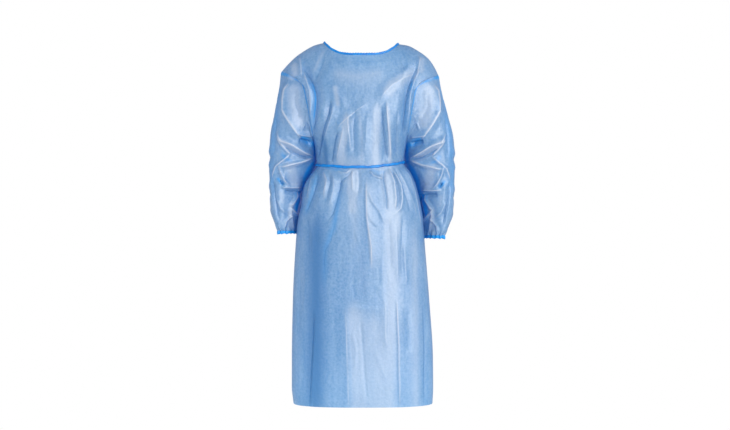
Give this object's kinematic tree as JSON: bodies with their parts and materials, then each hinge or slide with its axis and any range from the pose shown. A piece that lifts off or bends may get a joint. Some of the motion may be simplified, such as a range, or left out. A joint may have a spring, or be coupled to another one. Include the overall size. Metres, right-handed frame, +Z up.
{
  "type": "isolation gown",
  "caption": "Thin long-sleeved isolation gown in worn form, open at neck, hem and cuffs, lapped down the back and tied at nape and waist.",
  "frame": {"origin": "midway between the two neck points, where the wearer's shoulders carry the gown", "axes": "+X to the viewer's right seen from the front, the front faces -Y, +Z up"},
  "size_m": [0.5986, 0.2558, 1.1617],
  "materials": {
    "gown_cloth": "thin coated nonwoven, glossy on its creases",
    "trim_strip": "folded nonwoven strip, satin",
    "cuff_edge": "gathered elastic in a bound edge, satin"
  },
  "bodies": {
    "root": {"body_front": "gown_cloth", "back_left": "gown_cloth", "back_right": "gown_cloth", "sleeve_left": "gown_cloth", "sleeve_right": "gown_cloth", "cuff_left": "cuff_edge", "cuff_right": "cuff_edge", "neck_binding": "trim_strip", "neck_knot": "trim_strip", "neck_tie_left": "trim_strip", "neck_tie_right": "trim_strip", "waist_belt": "trim_strip", "belt_knot": "trim_strip", "belt_tie_left": "trim_strip", "belt_tie_right": "trim_strip"}
  },
  "joints": []
}
